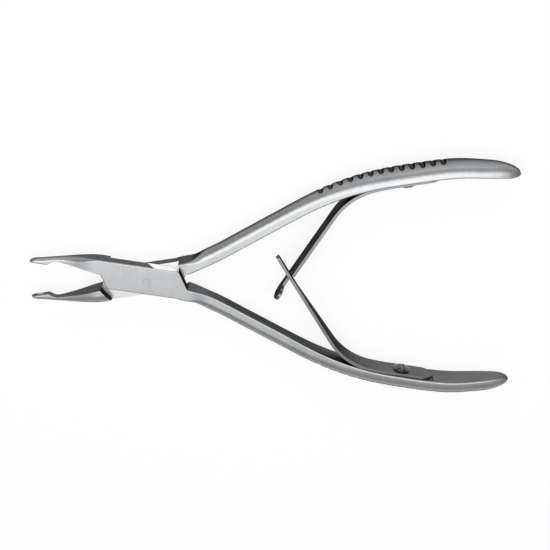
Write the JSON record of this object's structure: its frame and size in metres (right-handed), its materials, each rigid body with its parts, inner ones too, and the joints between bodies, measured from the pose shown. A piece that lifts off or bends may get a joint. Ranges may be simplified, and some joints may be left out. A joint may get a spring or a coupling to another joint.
{
  "type": "bone cutter",
  "caption": "Small hand-held bone cutter with a lapped joint, beaked cupped jaws, grooved grips and two crossed leaf springs that open it.",
  "frame": {"origin": "centre of the joint's lower flat face, on the axis of the pivot pin", "axes": "+Z along the pivot pin, upwards when the tool lies flat; +X from the joint towards the handles; +Y towards the upper handle"},
  "size_m": [0.1453, 0.075, 0.0093],
  "materials": {
    "satin_steel": "satin",
    "spring_steel": "satin",
    "screw_steel": "polished"
  },
  "bodies": {
    "front": {"front_half": "satin_steel", "pivot_pin": "satin_steel", "lower_leaf_spring": "spring_steel", "lower_spring_screw": "screw_steel"},
    "rear": {"rear_half": "satin_steel", "upper_leaf_spring": "spring_steel", "upper_spring_screw": "screw_steel"}
  },
  "joints": [
    {"name": "jaw_pivot", "type": "hinge", "parent": "front", "child": "rear", "pos_m": [0, 0, 0.00365], "axis": [0, 0, -1], "range_deg": [-4, 17.7], "stiffness_Nm_per_rad": 2.5, "deforming": ["lower_leaf_spring", "upper_leaf_spring"]}
  ]
}
